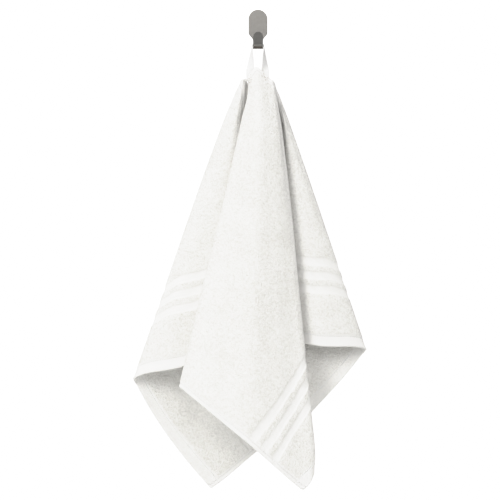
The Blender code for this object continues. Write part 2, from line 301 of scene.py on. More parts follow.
# %% Table of the folds
# name; edge, where the ray ends, measured along the towel's edge from its upper left corner; start, where
# it leaves the upper edge; reach, its hanging length over its cloth length; top (x, depth, z), hem
# (x, depth), neck (x, depth) and far (x, depth), its places at 0, 0.9, 6 and 36 cm of cloth. Where the ray
# is the tip of a fold: turn, its radius; tip, the side to which it points; leaves, whether the cloth goes
# on to the front (1) or to the wall (-1). A hem of None lies between top and neck. All in centimetres, with
# depth measured out from the wall.
COLUMNS = ("name", "edge", "start", "reach", "top", "hem", "neck", "far", "turn", "tip", "leaves")
FOLDS = [
    ("near edge left", 0.0, -2.6, 1.0, (-1.68, 0.8, -6.75), None, (-2.05, 1.05), (-5.0, 1.5)),
    ("left curl", 2.3, -2.6, 1.0, (-1.66, 0.86, -6.75), None, (-2.08, 1.2), (-2.6, 1.35)),
    ("left curl side", 5.0, -2.5, 1.0, (-1.7, 0.92, -6.8), None, (-2.2, 1.42), (-0.75, 3.0)),
    ("left curl top", 8.5, -2.4, 1.0, (-1.8, 0.98, -6.85), None, (-2.45, 1.68), (-1.9, 5.3)),
    ("left inner", 12.5, -2.3, 1.0, (-1.85, 1.02, -6.82), None, (-2.9, 1.85), (-5.4, 5.8)),
    ("left panel", 16.5, -2.2, 1.0, (-1.95, 1.0, -6.85), None, (-3.45, 1.78), (-9.2, 4.5)),
    ("left outer fold", 23.2, -2.1, 0.99, (-2.08, 0.7, -6.85), None, (-4.3, 1.1), (-14.1, 2.2), 0.65, -1, -1),
    ("left corner", 40.0, -2.0, 0.99, (-1.7, 0.35, -6.95), None, (-2.3, 0.5), (-4.65, 0.8)),
    ("back selvage", 47.4, -2.0, 0.98, (-1.45, 0.33, -6.95), None, (-1.45, 0.45), (-0.45, 0.6)),
    ("hidden turn", 57.0, -1.9, 0.98, (-1.05, 0.5, -7.3), None, (-0.55, 0.65), (4.6, 1.0), 0.35, 1, 1),
    ("hidden rise", 65.0, -1.9, 1.0, (-1.1, 0.92, -7.3), None, (-1.1, 1.3), (0.4, 2.4)),
    ("hidden crest", 72.0, -1.8, 1.0, (-1.1, 1.05, -7.25), None, (-1.1, 1.75), (-1.1, 6.3)),
    ("under front", 78.0, -1.7, 0.98, (-1.15, 1.13, -7.2), None, (-1.55, 2.0), (-4.6, 6.7)),
    ("front left fold", 84.0, -1.6, 0.965, (-1.64, 1.4, -6.78), (-1.06, 1.56), (-1.98, 2.45), (-8.4, 7.2), 0.4, -1, 1),
    ("front left slope", 92.0, -0.8, 0.985, (-0.92, 1.44, -6.05), (-0.6, 1.66), (-0.95, 2.9), (-4.7, 8.4)),
    ("front ridge", 98.9, -0.1, 1.0, (-0.15, 1.44, -5.3), (-0.02, 1.68), (0.25, 3.1), (-1.35, 8.5)),
    ("front right slope", 105.0, 1.1, 0.995, (1.0, 1.45, -6.33), (1.12, 1.66), (1.62, 2.95), (2.05, 7.7)),
    ("right far corner", 110.0, 1.7, 0.985, (1.6, 1.5, -6.85), None, (2.48, 2.6), (4.4, 6.7)),
    ("front right fold", 112.6, 1.9, 0.985, (1.86, 1.42, -7.0), None, (2.8, 2.2), (5.78, 6.0), 0.35, 1, -1),
    ("right tuck fold", 117.8, 2.0, 0.985, (1.1, 1.05, -7.4), None, (1.6, 1.6), (2.4, 4.2), 0.35, -1, -1),
    ("right back", 124.5, 2.1, 0.985, (1.5, 0.42, -7.2), None, (2.7, 0.75), (6.6, 2.1)),
    ("right outer fold", 135.3, 2.1, 0.985, (1.98, 0.7, -7.1), None, (3.98, 1.05), (13.4, 2.6), 0.65, 1, 1),
    ("right panel", 143.0, 2.3, 1.0, (1.93, 1.02, -7.2), None, (3.62, 1.52), (7.35, 4.85)),
    ("right curl top", 145.5, 2.4, 1.0, (1.88, 1.0, -7.22), None, (3.46, 1.5), (5.6, 4.3)),
    ("right curl side", 147.8, 2.5, 1.0, (1.84, 0.95, -7.24), None, (3.36, 1.39), (4.55, 3.55)),
    ("near edge right", 150.0, 2.6, 1.0, (1.78, 0.86, -7.25), None, (3.29, 1.24), (5.4, 2.9)),
]
NO_FOLD = (0, 0, 0)
FOLD_TIPS = [row[1] * CM for row in FOLDS if len(row) == len(COLUMNS)]
STATIONS = np.array([0, 0.009, 0.06, 0.36])
TOP_TURN = 0.0018
SHOULDER = 1.2  # how far from a fold's tip its shoulder rays stand, over half the way round the fold
RAY_STEPS = 120
LEAST_DROP = 0.1  # the least share of a squared step that goes down

# The real bands aren't quite straight. Near the front panel's lower right corner they lie CORNER_PULL nearer
# the end: PULL_SPAN is where along the edge, PULL_RISE and PULL_FALL how far from the cloth's middle.
# OUTER_PULLS (edge, pull) do the same within OUTER_WIDTH of the two silhouettes.
CORNER_PULL = 0.0155
PULL_SPAN = (0.955, 1.095, 1.16)
PULL_RISE, PULL_FALL = (0.15, 0.235), (0.29, HALF)
OUTER_PULLS = ((0.232, 0.0065), (1.353, 0.0035))
OUTER_WIDTH = 0.034
OUTER_RISE, OUTER_FALL = (0.19, 0.23), (0.29, 0.335)

# The lower end of the front panel's right fold turns inwards, past CORNER_SHARE of the rays in CORNER_SPAN.
CORNER_TURN = 0.0045
CORNER_SPAN = (1.106, 1.122, 1.132, 1.160)
CORNER_SHARE = 0.92


def fold_rays():
    """The table as arrays, with a shoulder ray on both sides of each fold's tip."""
    rays = []
    for values in FOLDS:
        row = dict(zip(COLUMNS, values + NO_FOLD))
        edge, start, turn = row["edge"] * CM, row["start"] * CM, row["turn"] * CM
        across, down = edge_point(edge)
        length = math.hypot(across - start, down)
        shoulder = math.pi / 2 * turn * length / STATIONS[3] * SHOULDER
        top, neck = row["top"][:2], row["neck"]
        hem = row["hem"] or [a + (b - a) * STATIONS[1] / STATIONS[2] for a, b in zip(top, neck)]
        radii = (TOP_TURN, TOP_TURN, (2 * TOP_TURN + turn) / 3, turn)
        for side in (-1, 0, 1) if turn else (0,):
            stations = []
            for place, radius in zip((top, hem, neck, row["far"]), radii):
                x = place[0] * CM - abs(side) * row["tip"] * radius
                depth = place[1] * CM + side * row["leaves"] * radius
                stations.append((x, -depth))
            rays.append((edge + side * shoulder, start, row["reach"], row["top"][2] * CM, stations))
    edge, start, reach, top_z = (np.array([ray[k] for ray in rays]) for k in range(4))
    return edge, start, reach, top_z, np.array([ray[4] for ray in rays])


def edge_point(edge):
    """Cloth place (across from the middle, down from the upper edge) of a length along the edge."""
    side = TOWEL_WIDTH + TOWEL_LENGTH
    across = np.clip(edge - TOWEL_WIDTH - HALF, -HALF, HALF)
    down = np.where(edge > side, side + TOWEL_WIDTH - edge, np.minimum(edge, TOWEL_WIDTH))
    return across, down


KNOTS, STARTS, REACHES, TOPS, PLACES = fold_rays()
print(len(FOLDS), "rows give", len(KNOTS), "rays, and", len(FOLD_TIPS), "folds")

# %% [markdown]
# ### Smooth curves through the rows

# %% Curves that never overshoot
def tangents(knots, values):
    """Slopes at the knots for a smooth curve that never swings past its values."""
    gap = np.diff(knots).reshape((-1,) + (1,) * (values.ndim - 1))
    slope = np.diff(values, axis=0) / gap
    before, after = slope[:-1], slope[1:]
    same = before * after > 0
    weight_1, weight_2 = 2 * gap[1:] + gap[:-1], gap[1:] + 2 * gap[:-1]
    safe_before, safe_after = np.where(same, before, 1), np.where(same, after, 1)
    mean = (weight_1 + weight_2) / (weight_1 / safe_before + weight_2 / safe_after)
    return np.concatenate([slope[:1], np.where(same, mean, 0), slope[-1:]])


def cubic(start, end, start_tangent, end_tangent, t):
    return (
        (2 * t**3 - 3 * t**2 + 1) * start
        + (t**3 - 2 * t**2 + t) * start_tangent
        + (3 * t**2 - 2 * t**3) * end
        + (t**3 - t**2) * end_tangent
    )


def through(values, edges):
    """The smooth curve through the table's values, read at edges."""
    slope = tangents(KNOTS, values)
    k = np.clip(np.searchsorted(KNOTS, edges, side="right") - 1, 0, len(KNOTS) - 2)
    shape = (-1,) + (1,) * (values.ndim - 1)
    gap = np.diff(KNOTS)[k].reshape(shape)
    t = (edges - KNOTS[k]).reshape(shape) / gap
    return cubic(values[k], values[k + 1], slope[k] * gap, slope[k + 1] * gap, t)


def ray_places(stations, length):
    """(x, y) on each ray at cloth lengths from its start, straight beyond the far station."""
    values = stations.transpose(1, 0, 2)
    slope = tangents(STATIONS, values)
    k = np.clip(np.searchsorted(STATIONS, length, side="right") - 1, 0, len(STATIONS) - 2)
    ray = np.arange(len(stations))[:, None]
    gap = np.diff(STATIONS)[k][..., None]
    beyond = np.maximum(length - STATIONS[-1], 0)[..., None]
    t = (length - STATIONS[k])[..., None] / gap - beyond / gap
    inner = cubic(values[k, ray], values[k + 1, ray], slope[k, ray] * gap, slope[k + 1, ray] * gap, t)
    return inner + beyond * slope[-1][:, None]


# %% The middle surface of the hanging cloth
def ramp(value, low, high):
    """0 below low, 1 above high, and a soft rise between."""
    t = np.clip((value - low) / (high - low), 0, 1)
    return t * t * (3 - 2 * t)


def cloth_places(edges, shares):
    """Cloth places of rays that end at edges, at shares of each ray's length, with the bands' pulls."""
    start = through(STARTS, edges)[:, None]
    across, down = edge_point(edges)
    across = start + (across[:, None] - start) * shares
    pulled = np.interp(edges, PULL_SPAN, (0, 1, 0))[:, None]
    pulled = pulled * ramp(across, *PULL_RISE) * (1 - ramp(across, *PULL_FALL))
    places = across - CORNER_PULL * pulled
    out = np.abs(across)
    banded = ramp(out, *OUTER_RISE) * (1 - ramp(out, *OUTER_FALL))
    for fold, pull in OUTER_PULLS:
        near = ramp(OUTER_WIDTH - np.abs(edges - fold), 0, OUTER_WIDTH)[:, None]
        places = places - np.sign(across) * pull * near * banded
    return places, down[:, None] * shares


def corner_turn(edges, shares):
    """How far the lower end of the front panel's right fold is turned inwards."""
    near = ramp(np.interp(edges, CORNER_SPAN, (0, 1, 1, 0)), 0, 1)[:, None]
    return CORNER_TURN * near * (np.maximum(shares - CORNER_SHARE, 0) / (1 - CORNER_SHARE)) ** 2


def cloth_surface(edges, shares):
    """Hanging points of the rays: x and depth from the curves, z from the cloth's length."""
    start = through(STARTS, edges)
    reach = through(REACHES, edges)[:, None]
    places = through(PLACES, edges)
    across, down = edge_point(edges)
    length = np.hypot(across - start, down)[:, None]
    fine = np.linspace(0, 1, RAY_STEPS + 1)
    path = ray_places(places, length * fine)
    sideways = np.square(np.diff(path, axis=1)).sum(axis=-1)
    step = (reach * length / RAY_STEPS) ** 2
    drop = np.sqrt(np.maximum(step - sideways, LEAST_DROP * step))
    fall = np.concatenate([np.zeros_like(length), np.cumsum(drop, axis=1)], axis=1)
    fallen = np.array([np.interp(own, fine, f) for own, f in zip(shares, fall)])
    points = np.dstack([ray_places(places, length * shares), through(TOPS, edges)[:, None] - fallen])
    points[..., 0] -= corner_turn(edges, shares)
    return points


corner_edges = np.array([TOWEL_WIDTH, TOWEL_WIDTH + TOWEL_LENGTH])
corner_points = cloth_surface(corner_edges, np.ones((2, 1)))[:, 0]
print("lower corners in mm:", (1000 * corner_points).round(1).tolist())

# %% [markdown]
# ## Thickness of terry
#
# Terry stands up in loops about a millimetre high. The bands, the hems and the edges are woven flat, so
# they lie lower, and the hems, which are folded double, are firmer with a rounded rim. One function gives
# the height of the cloth's skin over its middle surface, for the face and for the reverse, on which the
# hems are turned over.

# %% Height of the skin
PILE = 1.45 * MM
FLAT = 0.70 * MM
HEM_FACE = 0.95 * MM
HEM_REVERSE = 1.25 * MM
RIM = 1.45 * MM
RIM_WIDTH = 2.2 * MM
SIDE_THINNER = 0.1 * MM
EDGE_BLUR = 0.7 * MM
WAVE_HEIGHT = 0.10 * MM
WAVE_SIZE = 11 * MM
WAVES = ((1, 0.31, 0.4), (0.52, 0.87, 2.1), (-0.63, 0.71, 4.0), (0.2, -1.3, 1.2))  # across, down, phase


def below(value, limit, blur=EDGE_BLUR):
    """1 where value is under the limit, 0 over it, with a soft step between."""
    return 1 - ramp(value, limit - blur, limit + blur)


def hem_distances(across, down):
    """Distances from the nearest end and from the nearest long side."""
    return HALF - np.abs(across), np.minimum(down, TOWEL_WIDTH - down)


def band_distance(end_distance):
    """Distance from the middle line of the nearest band."""
    nearest = np.clip(np.round((end_distance - BAND_FIRST) / BAND_PITCH), 0, BANDS - 1)
    return np.abs(end_distance - BAND_FIRST - nearest * BAND_PITCH)


def soft_waves(across, down):
    """Gentle unevenness of a cloth that has been washed, about -1 to 1."""
    waves = 0
    for k, (right, low, phase) in enumerate(WAVES):
        waves = waves + np.sin((across * right + down * low) * 2 * math.pi / WAVE_SIZE + phase + k)
    return waves / len(WAVES)


def skin_height(across, down, reverse):
    """Height of the skin over the middle surface, before the gathered top is pressed thinner."""
    to_end, to_side = hem_distances(across, down)
    height = np.full_like(across, PILE) + WAVE_HEIGHT * soft_waves(across, down)
    band = below(band_distance(to_end), BAND_HALF)
    height += (FLAT - height) * band
    hem = HEM_REVERSE if reverse else HEM_FACE
    height += (hem - height) * below(to_end, END_HEM)
    height += (hem - SIDE_THINNER - height) * below(to_side, SIDE_HEM)
    rim = np.maximum(below(to_end, RIM_WIDTH), below(to_side, RIM_WIDTH))
    height += (RIM - height) * rim
    return height


samples = np.array([0.0, HALF - BAND_FIRST, HALF - 0.008])
sample_heights = skin_height(samples, np.full(3, TOWEL_WIDTH / 2), True)
print("skin in mm at pile, band, hem:", (1000 * sample_heights).round(2).tolist())

# %% [markdown]
# ## The towel's mesh
#
# The mesh is a grid of rays and of points along each ray. A plain grid would need millions of faces to
# show the edges of the bands. Instead the points crowd where the height of the skin changes, and the rays
# crowd at the folds. The grid is made twice, as face and as reverse, and its edges are joined by a
# rounded rim, so the towel is one closed sheet.

# %% Where the grid's lines lie
COLUMN_STEP = 3.0 * MM  # between rays at the edge, and where they crowd
TIGHT_STEP = 1.25 * MM
FOLD_REACH, END_REACH, REACH_BLUR = 0.011, 0.02, 0.004
ROW_STEP = 9.0 * MM  # between a ray's points, where they crowd, and near the top
CLOSE_STEP = 1.1 * MM
TOP_STEP = 6.0 * MM
BAND_REACH, END_HEM_REACH, SIDE_HEM_REACH, RIM_REACH = 1.6 * MM, 1.4 * MM, 1.2 * MM, 3.0 * MM
TOP_SHARE, TOP_BLUR = 0.05, 0.04
RAY_POINTS = 74


def crowded(density, count):
    """count places from 0 to 1, with more of them where the density is high."""
    total = np.concatenate([[0], np.cumsum((density[1:] + density[:-1]) / 2)])
    return np.interp(np.linspace(0, total[-1], count), total, np.linspace(0, 1, len(density)))


def column_edges():
    """Places along the towel's edge where the rays end, close together at the folds and the near edges."""
    fine = np.linspace(0, KNOTS[-1], 6001)
    density = np.full_like(fine, 1 / COLUMN_STEP)
    for place in FOLD_TIPS + [0.0, KNOTS[-1]]:
        reach = FOLD_REACH if place in FOLD_TIPS else END_REACH
        density += (1 / TIGHT_STEP - 1 / COLUMN_STEP) * below(np.abs(fine - place), reach, REACH_BLUR)
    count = int(density.mean() * KNOTS[-1]) + 1
    return KNOTS[-1] * crowded(density, count)


def row_shares(edges):
    """Places along each ray, close together at the edges of bands and hems."""
    fine = np.linspace(0, 1, 1501)
    across, down = cloth_places(edges, np.tile(fine, (len(edges), 1)))
    to_end, to_side = hem_distances(across, down)
    density = np.full_like(across, 1 / ROW_STEP)
    density += below(np.abs(band_distance(to_end) - BAND_HALF), BAND_REACH) / CLOSE_STEP
    density += below(np.abs(to_end - END_HEM), END_HEM_REACH) / CLOSE_STEP
    density += below(np.abs(to_side - SIDE_HEM), SIDE_HEM_REACH) / CLOSE_STEP
    density += np.maximum(below(to_end, RIM_REACH), below(to_side, RIM_REACH)) / CLOSE_STEP
    density += below(fine[None, :], TOP_SHARE, TOP_BLUR) / TOP_STEP
    return np.array([crowded(own, RAY_POINTS) for own in density])


edges = column_edges()
shares = row_shares(edges)
print("grid:", len(edges), "rays of", RAY_POINTS, "points")

# %% Face, reverse and rim as one closed mesh
THIN_TOP = 0.62
THIN_SPAN = (0.012, 0.07)
RIM_OUT = 0.9 * MM


def unit(vectors):
    return vectors / np.maximum(np.linalg.norm(vectors, axis=-1, keepdims=True), 1e-12)


def directions(middle):
    """Unit vectors along the rays, from ray to ray, and out of the face."""
    along = unit(np.gradient(middle, axis=1))
    around = unit(np.gradient(middle, axis=0))
    return along, around, unit(np.cross(around, along))


def top_thinning(across, down):
    """The gathered cloth at the tape is pressed thinner."""
    return THIN_TOP + (1 - THIN_TOP) * ramp(np.hypot(across, down), *THIN_SPAN)


def cloth_mesh(name, points, faces, places):
    """A smooth mesh that keeps its cloth places as an attribute."""
    mesh = bpy.data.meshes.new(name)
    mesh.from_pydata(points.tolist(), [], faces.tolist())
    cloth = mesh.attributes.new("cloth", "FLOAT_VECTOR", "POINT")
    cloth.data.foreach_set("vector", places.ravel())
    mesh.shade_smooth()
    return mesh


def towel_mesh(name):
    """The face, the reverse, and between them one rim line that is pushed out all round."""
    middle = cloth_surface(edges, shares)
    across, down = cloth_places(edges, shares)
    along, around, out = directions(middle)
    thin = top_thinning(across, down)
    face = middle + out * (skin_height(across, down, False) * thin)[..., None]
    reverse = middle - out * (skin_height(across, down, True) * thin)[..., None]
    columns, rows = across.shape
    index = np.arange(columns * rows).reshape(columns, rows)
    loop = np.concatenate([index[:, -1], index[-1, -2::-1], index[-2::-1, 0], index[0, 1:-1]])
    outward = np.zeros_like(middle)
    outward[:, -1] += along[:, -1]
    outward[-1] += around[-1]
    outward[:, 0] -= along[:, 0]
    outward[0] -= around[0]
    rim = (middle + unit(outward) * (RIM_OUT * thin)[..., None]).reshape(-1, 3)[loop]
    points = np.concatenate([face.reshape(-1, 3), reverse.reshape(-1, 3), rim])
    corners = (index[:-1, :-1], index[:-1, 1:], index[1:, 1:], index[1:, :-1])
    outer = np.stack(corners, axis=-1).reshape(-1, 4)[:, ::-1]
    inner = outer[:, ::-1] + index.size
    edge = 2 * index.size + np.arange(len(loop))
    after = np.roll(np.arange(len(loop)), -1)
    upper = np.stack([loop, loop[after], edge[after], edge], axis=-1)
    lower = np.stack([edge, edge[after], loop[after] + index.size, loop + index.size], axis=-1)
    faces = np.concatenate([outer, inner, upper, lower])
    face_place = np.stack([across, down, np.zeros_like(down)], axis=-1).reshape(-1, 3)
    places = np.concatenate([face_place, face_place + (0, 0, 1), face_place[loop]])
    return cloth_mesh(name, points, faces, places)


towel = new_object("terry_towel", towel_mesh("terry_towel"))
print("towel:", len(towel.data.polygons), "faces")

# %% [markdown]
# ## Terry cotton
#
# Terry looks matt and soft because every loop throws a tiny shadow on its neighbours. Small swayed cells
# are the loops, a wider noise gathers them in tufts, and a still wider one makes soft clouds. These three
# are laid in the object's own space, so they keep their size all over the towel.
#
# The bands and hems show a fine, flat weave instead. They, and the seams' grooves, are laid on the flat
# cloth with the cloth attribute, so they turn with the folds.

# %% Cotton of the towel
LOOP_SIZE = 1.9 * MM
LOOP_SWAY = 1.5 * MM
TUFT_SIZE = 3.5 * MM
CLOUD_SIZE = 28.0 * MM
RIB_PITCH = 1.0 * MM
THREAD_PITCH = 0.8 * MM
PILE_ROUND = 1.8 * MM  # how softly the pile rounds off beside a flat part
PILE_SHORT = 0.3 * MM
GROOVE_CORE, GROOVE_HALF = 0.15 * MM, 0.7 * MM
TURNED_PILE = 0.35  # how much pile shows on an end hem that is turned over

# Heights of the bumps, as shares of BUMP_DEPTH.
BUMP_DEPTH = 1.0 * MM
BUMP_STRENGTH = 0.82
PILE_STEP = 0.12
LOOP_DEPTH = 0.8
TUFT_HEIGHT = 1.6
WEAVE_HEIGHT, WEAVE_TUFT = 0.05, 0.5
GROOVE_DEPTH = 0.5

# Painted shade of the pile: clouds against tufts, then how strongly they and the hollows darken it.
# The hollows between the loops and the tufts' low parts get painted shade; the clouds vary the tone at random.
CLOUD_SHARE = 0.35
PATCH_SHADE, PATCH_MIDDLE = 1.6, 0.18
HOLLOW_SHADE = 0.5
PILE_LIGHT, PILE_SHADE = (0.888, 0.879, 0.850), (0.748, 0.735, 0.700)
# The bands' weave: painted light on the ribs' crests, painted shade in their grooves.
BAND_LIGHT, BAND_SHADE = (0.922, 0.914, 0.893), (0.875, 0.864, 0.836)
TURNED_COLOR = (0.895, 0.886, 0.863)
# Painted shade in the seams' grooves on the face; on the turned hems the groove keeps close to the hem's colour.
SEAM_GROOVE_SHADE, TURNED_SEAM = (0.79, 0.78, 0.755), (0.90, 0.895, 0.88)
# Painted shadow beside the tape's tack stitches.
TACK_SHADOW_COLOR = (0.62, 0.59, 0.55)


def flat_zone(tree, across, down, reverse):
    """From 0 to 1: the flat parts (bands, hems, edges), the end hems turned over, and the seams' grooves."""
    to_end = calc(tree, "SUBTRACT", HALF, calc(tree, "ABSOLUTE", across))
    to_side = calc(tree, "MINIMUM", down, calc(tree, "SUBTRACT", TOWEL_WIDTH, down))
    past_first = calc(tree, "SUBTRACT", to_end, BAND_FIRST)
    count = calc(tree, "ROUND", calc(tree, "DIVIDE", past_first, BAND_PITCH))
    count = calc(tree, "MINIMUM", calc(tree, "MAXIMUM", count, 0.0), BANDS - 1.0)
    middle = calc(tree, "MULTIPLY_ADD", count, BAND_PITCH, BAND_FIRST)
    to_band = calc(tree, "ABSOLUTE", calc(tree, "SUBTRACT", to_end, middle))
    zones = []
    for distance, limit in ((to_band, BAND_HALF), (to_end, END_HEM), (to_side, SIDE_HEM)):
        zones.append(soft_below(tree, distance, limit - PILE_SHORT, limit + PILE_ROUND))
    turned = calc(tree, "MULTIPLY", zones[1], reverse)
    smooth_hem = calc(tree, "MULTIPLY_ADD", turned, -TURNED_PILE, zones[1])
    flat = calc(tree, "MAXIMUM", zones[0], calc(tree, "MAXIMUM", smooth_hem, zones[2]))
    seams = []
    for distance, limit in ((to_end, END_HEM), (to_side, SIDE_HEM)):
        off = calc(tree, "ABSOLUTE", calc(tree, "SUBTRACT", distance, limit - SEAM_INSET))
        seams.append(soft_below(tree, off, GROOVE_CORE, GROOVE_HALF))
    return flat, turned, calc(tree, "MAXIMUM", seams[0], seams[1])


def tack_painted_shadow(tree, across, down):
    """1 in the small hollows beside the crossed stitches that hold the tape's feet, where a painted shadow goes."""
    u = calc(tree, "ABSOLUTE", calc(tree, "SUBTRACT", calc(tree, "ABSOLUTE", across), TACK_ACROSS))
    v = calc(tree, "ABSOLUTE", calc(tree, "SUBTRACT", down, TACK_DOWN))
    off = calc(tree, "ABSOLUTE", calc(tree, "SUBTRACT", u, v))
    cross = soft_below(tree, off, 0.3 * MM, 1.3 * MM)
    inside = soft_below(tree, calc(tree, "MAXIMUM", u, v), TACK_HALF, TACK_HALF + 0.8 * MM)
    return calc(tree, "MULTIPLY", cross, inside)


def waves(tree, value, pitch):
    """A sine wave, one each pitch."""
    return calc(tree, "SINE", calc(tree, "MULTIPLY", value, 2 * math.pi / pitch))


def pile_parts(tree, place):
    """The hollows between the swayed loops, the tufts and the clouds."""
    sway = {0: noise(tree, place, 0.6 / LOOP_SIZE)["Color"], 1: (LOOP_SWAY,) * 3, 2: place}
    swayed = add(tree, "VectorMath", sway, operation="MULTIPLY_ADD").outputs[0]
    loops = add(tree, "TexVoronoi", {"Vector": swayed, "Scale": 1 / LOOP_SIZE})
    fuzz = noise(tree, place, 2.2 / LOOP_SIZE)[0]
    rounded = calc(tree, "MULTIPLY_ADD", loops.outputs["Distance"], 0.7, -0.35)
    tuft = noise(tree, place, 1 / TUFT_SIZE, 3.0, 0.65)[0]
    return calc(tree, "MULTIPLY_ADD", fuzz, 0.9, rounded), tuft, noise(tree, place, 1 / CLOUD_SIZE)[0]


def terry_height(tree, dip, tuft, weave, flat, seam):
    """Height of the bumps: loops and tufts on the pile, threads on the flat parts, and the seams' grooves."""
    tufted = calc(tree, "MULTIPLY_ADD", tuft, TUFT_HEIGHT, PILE_STEP)
    pile = calc(tree, "MULTIPLY_ADD", dip, -LOOP_DEPTH, tufted)
    woven = calc(tree, "MULTIPLY_ADD", weave, WEAVE_HEIGHT, calc(tree, "MULTIPLY", tuft, WEAVE_TUFT))
    height = add(tree, "Mix", {0: flat, 2: pile, 3: woven}).outputs[0]
    return calc(tree, "MULTIPLY_ADD", seam, -GROOVE_DEPTH, height)


def pile_shade(tree, dip, tuft, cloud):
    """How dark the pile is painted, from 0 to 1: painted shade in the hollows and on the tufts' low parts, and clouds
    of random tone.
    """
    hollow = calc(tree, "MULTIPLY", soft_step(tree, dip, 0.2, 0.8), HOLLOW_SHADE)
    tuft_off = calc(tree, "SUBTRACT", tuft, 0.5)
    patch = calc(tree, "MULTIPLY_ADD", calc(tree, "SUBTRACT", cloud, 0.5), CLOUD_SHARE, tuft_off)
    shade = calc(tree, "ADD", calc(tree, "MULTIPLY_ADD", patch, -PATCH_SHADE, PATCH_MIDDLE), hollow)
    return soft_step(tree, shade, 0.0, 1.0)


def terry_material():
    material, tree, shader = new_material("terry_cotton", 0.95)
    place = add(tree, "TexCoord").outputs["Object"]
    flat_place = add(tree, "Attribute", attribute_name="cloth").outputs["Vector"]
    across, down, reverse = add(tree, "SeparateXYZ", {0: flat_place}).outputs
    flat, turned, seam = flat_zone(tree, across, down, reverse)
    dip, tuft, cloud = pile_parts(tree, place)
    ribs, threads = waves(tree, across, RIB_PITCH), waves(tree, down, THREAD_PITCH)
    height = terry_height(tree, dip, tuft, calc(tree, "ADD", ribs, threads), flat, seam)
    pile_color = blend_colors(tree, pile_shade(tree, dip, tuft, cloud), PILE_LIGHT, PILE_SHADE)
    # Painted light and shade on the bands: lighter where the ribs and tufts stand higher.
    rib_light = soft_step(tree, calc(tree, "ADD", ribs, tuft), 0.0, 1.4)
    band_color = blend_colors(tree, rib_light, BAND_SHADE, BAND_LIGHT)
    flat_color = blend_colors(tree, turned, band_color, TURNED_COLOR)
    color = blend_colors(tree, flat, pile_color, flat_color)
    # Painted shade in the seams' grooves.
    seam_color = blend_colors(tree, turned, SEAM_GROOVE_SHADE, TURNED_SEAM)
    color = blend_colors(tree, seam, color, seam_color)
    # Painted shadow in the hollows beside the tack stitches.
    color = blend_colors(tree, tack_painted_shadow(tree, across, down), color, TACK_SHADOW_COLOR)
    dress(tree, shader, color, height, BUMP_STRENGTH, BUMP_DEPTH)
    shader.inputs["Sheen Weight"].default_value = 0.12
    shader.inputs["Sheen Roughness"].default_value = 0.5
    shader.inputs["Specular IOR Level"].default_value = 0.15
    return material


towel.data.materials.append(terry_material())
print("terry: loops of", round(LOOP_SIZE / MM, 1), "mm")

# %% [markdown]
# ## The hanging tape
#
# The loop is a flat cotton tape, sewn to the back of the upper hem at both feet. It lies flat against the
# cloth there and stands edge on where it goes through the hook, so each leg makes a quarter turn on its
# way up. The sections are placed one by one along the leg. The cosine of their turn falls evenly, so the
# leg narrows in straight lines, as a pulled tape does.

# %% Sizes of the tape and the hook
TAPE_WIDTH = 10.0 * MM
TAPE_THICKNESS = 1.2 * MM
TAPE_EDGE = 0.35 * MM
TAPE_THREAD = 1.1 * MM
TAPE_SHADE, TAPE_LIGHT = (0.80, 0.79, 0.77), (0.90, 0.895, 0.885)
TAPE_BEND = 1.6 * MM
TAPE_FOOT = {"left": (-0.0098, -0.0124, -0.0662), "right": (0.0090, -0.0124, -0.0680)}
TAPE_JOIN_RISE = 10.0 * MM
TAPE_JOIN_LEAN = 1.0 * MM
HOOK_THICKNESS = 2.0 * MM
HOOK_PLATE_WIDTH = 23.8 * MM
HOOK_TONGUE_WIDTH = 12.5 * MM
HOOK_TOP = 20.3 * MM
HOOK_BOTTOM = -29.8 * MM
HOOK_DEPTH = 18.0 * MM
HOOK_TONGUE_TOP = -9.2 * MM
HOOK_TAPER_START = -8.8 * MM
HOOK_TAPER_END = -18.5 * MM
HOOK_LEAN = 0.15
HOOK_EDGE = 0.45 * MM
CLEARANCE = 0.3 * MM


def arc(center, radius, start, end, steps):
    """Points on an arc, from a start angle to an end angle."""
    angles = np.linspace(start, end, steps + 1)
    return [(center[0] + radius * math.cos(a), center[1] + radius * math.sin(a)) for a in angles]


def tape_sections():
    """Places of the tape's middle line with its turn, from the left foot over the hook to the right foot."""
    side = HOOK_TONGUE_WIDTH / 2 + CLEARANCE + TAPE_THICKNESS / 2
    middle_y = -HOOK_DEPTH / 2
    bowl = HOOK_DEPTH / 2 - HOOK_THICKNESS
    seat = HOOK_BOTTOM + HOOK_DEPTH / 2 - math.sqrt(bowl**2 - (TAPE_WIDTH / 2) ** 2)
    crest = seat + 3 * CLEARANCE + TAPE_THICKNESS / 2
    legs = []
    for name, sign in (("left", -1), ("right", 1)):
        x, y, z = TAPE_FOOT[name]
        join = (x, y + TAPE_JOIN_LEAN, z + TAPE_JOIN_RISE)
        hook = (sign * side, middle_y, crest - TAPE_BEND)
        leg = [((x, y + (join[1] - y) * t, z + TAPE_JOIN_RISE * t), 0.0) for t in np.linspace(0, 1, 6)]
        for t in np.linspace(0, 1, 31)[1:]:
            place = tuple(a + (b - a) * t for a, b in zip(join, hook))
            leg.append((place, math.acos(1 - t)))
        center = (sign * (side - TAPE_BEND), crest - TAPE_BEND)
        for px, pz in arc(center, TAPE_BEND, 0, math.pi / 2, 6)[1:]:
            leg.append(((center[0] + sign * (px - center[0]), middle_y, pz), math.pi / 2))
        legs.append(leg if sign < 0 else leg[::-1])
    return legs[0] + legs[1]


sections = tape_sections()
tape_line = np.array([place for place, _ in sections])

# %% Sheet of the tape
def sheet_mesh(name, points, cloth_place):
    """An open grid as a cloth mesh."""
    columns, rows = points.shape[:2]
    index = np.arange(columns * rows).reshape(columns, rows)
    corners = (index[:-1, :-1], index[1:, :-1], index[1:, 1:], index[:-1, 1:])
    faces = np.stack(corners, axis=-1).reshape(-1, 4)
    return cloth_mesh(name, points.reshape(-1, 3), faces, cloth_place)


